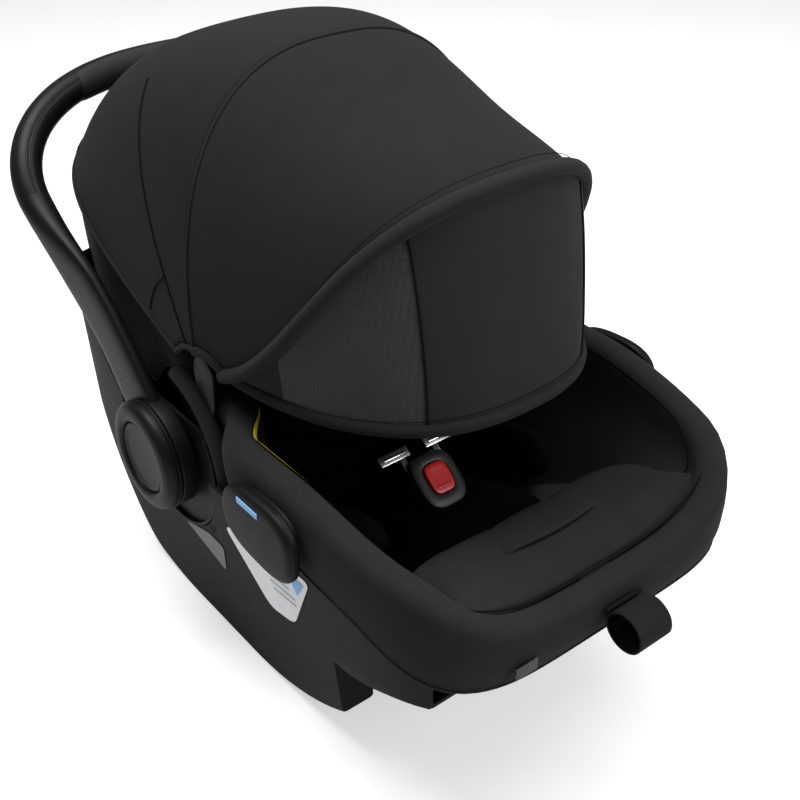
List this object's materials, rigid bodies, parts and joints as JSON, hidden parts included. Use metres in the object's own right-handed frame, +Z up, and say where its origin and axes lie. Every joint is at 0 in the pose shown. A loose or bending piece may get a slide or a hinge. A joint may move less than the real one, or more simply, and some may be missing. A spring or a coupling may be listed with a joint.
{
  "type": "infant car seat",
  "caption": "Rear-facing infant carrier: bucket shell on curved runners, swing-over carry handle, folding fabric canopy, padded liner and buckled harness.",
  "frame": {"origin": "on the floor on the seat's mid-plane, directly below the canopy's pivot axis", "axes": "+Z up, +Y towards the head end, -Y towards the foot end, -X on the child's right side"},
  "size_m": [0.454, 0.7825, 0.6185],
  "materials": {
    "shell": "moulded, fine grain",
    "hub": "moulded, fine grain",
    "handle": "satin moulded plastic",
    "trim": "satin moulded plastic",
    "guide": "fine moulded grain",
    "grip": "soft-touch grip",
    "foam": "expanded bead foam",
    "fabric": "woven charcoal polyester",
    "insert": "black brushed knit",
    "canopy": "plain-woven charcoal canopy cloth",
    "webbing": "ribbed harness webbing",
    "steel": "zinc-plated steel",
    "chrome": "plated tongue",
    "red": "red press button",
    "blue": "light blue guide strip"
  },
  "bodies": {
    "seat_shell": {"inner_bucket": "shell", "belly_pan": "shell", "side_panel_right": "shell", "side_panel_left": "shell", "hub_recess_right": "hub", "hub_recess_left": "hub", "canopy_mount_right": "trim", "canopy_mount_left": "trim", "buckle_body": "trim", "belt_guide_right": "guide", "belt_guide_left": "guide", "foam_liner": "foam", "rim_roll": "fabric", "seat_cushion": "fabric", "back_cushion": "fabric", "side_pad_right": "fabric", "side_pad_left": "fabric", "shoulder_pad_right": "fabric", "shoulder_pad_left": "fabric", "infant_insert": "insert", "crotch_pad": "insert", "canopy_rear_panel": "canopy", "shoulder_strap_right": "webbing", "shoulder_strap_left": "webbing", "hip_strap_right": "webbing", "hip_strap_left": "webbing", "crotch_strap": "webbing", "latch_bar_front": "steel", "latch_bar_rear": "steel", "lock_gear_right": "steel", "lock_gear_left": "steel", "guide_strip_right": "blue", "guide_strip_left": "blue"},
    "handle": {"handle_arm_right": "handle", "handle_arm_left": "handle", "handle_crossbar": "handle", "handle_grip": "grip", "hub_cap_right": "handle", "hub_cap_left": "handle", "button_spring_right": "steel", "button_spring_left": "steel"},
    "handle_button_right": {"handle_button_right": "trim"},
    "handle_button_left": {"handle_button_left": "trim"},
    "canopy_rear": {"canopy_rear_bow": "trim", "canopy_front_panel": "canopy"},
    "canopy_front": {"canopy_front_bow": "trim", "visor_panel": "canopy"},
    "visor": {"visor_bow": "trim"},
    "headrest": {"headrest_board": "shell", "headrest_pad": "fabric"},
    "buckle_button": {"buckle_button": "red"},
    "tongue_right": {"tongue_right": "chrome"},
    "tongue_left": {"tongue_left": "chrome"},
    "adjuster_lever": {"adjuster_lever": "trim"},
    "adjuster_strap": {"adjuster_strap": "webbing"},
    "release_lever": {"release_lever": "trim"},
    "latch_hook": {"latch_hook": "steel"}
  },
  "joints": [
    {"name": "handle_swing", "type": "hinge", "parent": "seat_shell", "child": "handle", "pos_m": [0, 0.065, 0.228], "axis": [1, 0, 0], "range_deg": [0, 45]},
    {"name": "handle_button_right_press", "type": "slide", "parent": "handle", "child": "handle_button_right", "axis": [1, 0, 0], "range_m": [0, 0.004], "stiffness_N_per_m": 600, "deforming": ["button_spring_right"]},
    {"name": "handle_button_left_press", "type": "slide", "parent": "handle", "child": "handle_button_left", "axis": [-1, 0, 0], "range_m": [0, 0.004], "stiffness_N_per_m": 600, "deforming": ["button_spring_left"]},
    {"name": "canopy_rear_fold", "type": "hinge", "parent": "seat_shell", "child": "canopy_rear", "pos_m": [0, 0, 0.34], "axis": [-1, 0, 0], "range_deg": [0, 42], "deforming": ["canopy_rear_panel"]},
    {"name": "canopy_front_fold", "type": "hinge", "parent": "canopy_rear", "child": "canopy_front", "pos_m": [0, 0, 0.34], "axis": [-1, 0, 0], "range_deg": [0, 42], "deforming": ["canopy_front_panel"]},
    {"name": "visor_fold", "type": "hinge", "parent": "canopy_front", "child": "visor", "pos_m": [0, 0, 0.34], "axis": [-1, 0, 0], "range_deg": [0, 36], "deforming": ["visor_panel"]},
    {"name": "headrest_height", "type": "slide", "parent": "seat_shell", "child": "headrest", "axis": [0, 0.6428, 0.766], "range_m": [0, 0.05]},
    {"name": "buckle_press", "type": "slide", "parent": "seat_shell", "child": "buckle_button", "axis": [0, 0.6157, -0.788], "range_m": [0, 0.003], "stiffness_N_per_m": 1200},
    {"name": "tongue_right_slide", "type": "slide", "parent": "seat_shell", "child": "tongue_right", "axis": [0, 0.788, 0.6157], "range_m": [0, 0.01]},
    {"name": "tongue_left_slide", "type": "slide", "parent": "seat_shell", "child": "tongue_left", "axis": [0, 0.788, 0.6157], "range_m": [0, 0.01]},
    {"name": "adjuster_lever_press", "type": "hinge", "parent": "seat_shell", "child": "adjuster_lever", "pos_m": [0, -0.268, 0.236], "axis": [1, 0, 0], "range_deg": [0, 15], "stiffness_Nm_per_rad": 0.3},
    {"name": "adjuster_strap_pull", "type": "slide", "parent": "seat_shell", "child": "adjuster_strap", "axis": [0, -0.9135, -0.4067], "range_m": [0, 0.03]},
    {"name": "release_lever_pull", "type": "hinge", "parent": "seat_shell", "child": "release_lever", "pos_m": [0, 0.265, 0.283], "axis": [1, 0, 0], "range_deg": [0, 18], "stiffness_Nm_per_rad": 1.5},
    {"name": "latch_hook_turn", "type": "hinge", "parent": "seat_shell", "child": "latch_hook", "pos_m": [0, 0.121, 0.087], "axis": [1, 0, 0], "range_deg": [0, 18]}
  ],
  "couplings": [
    {"joint": "latch_hook_turn", "follows": "release_lever_pull", "ratio": 1}
  ]
}
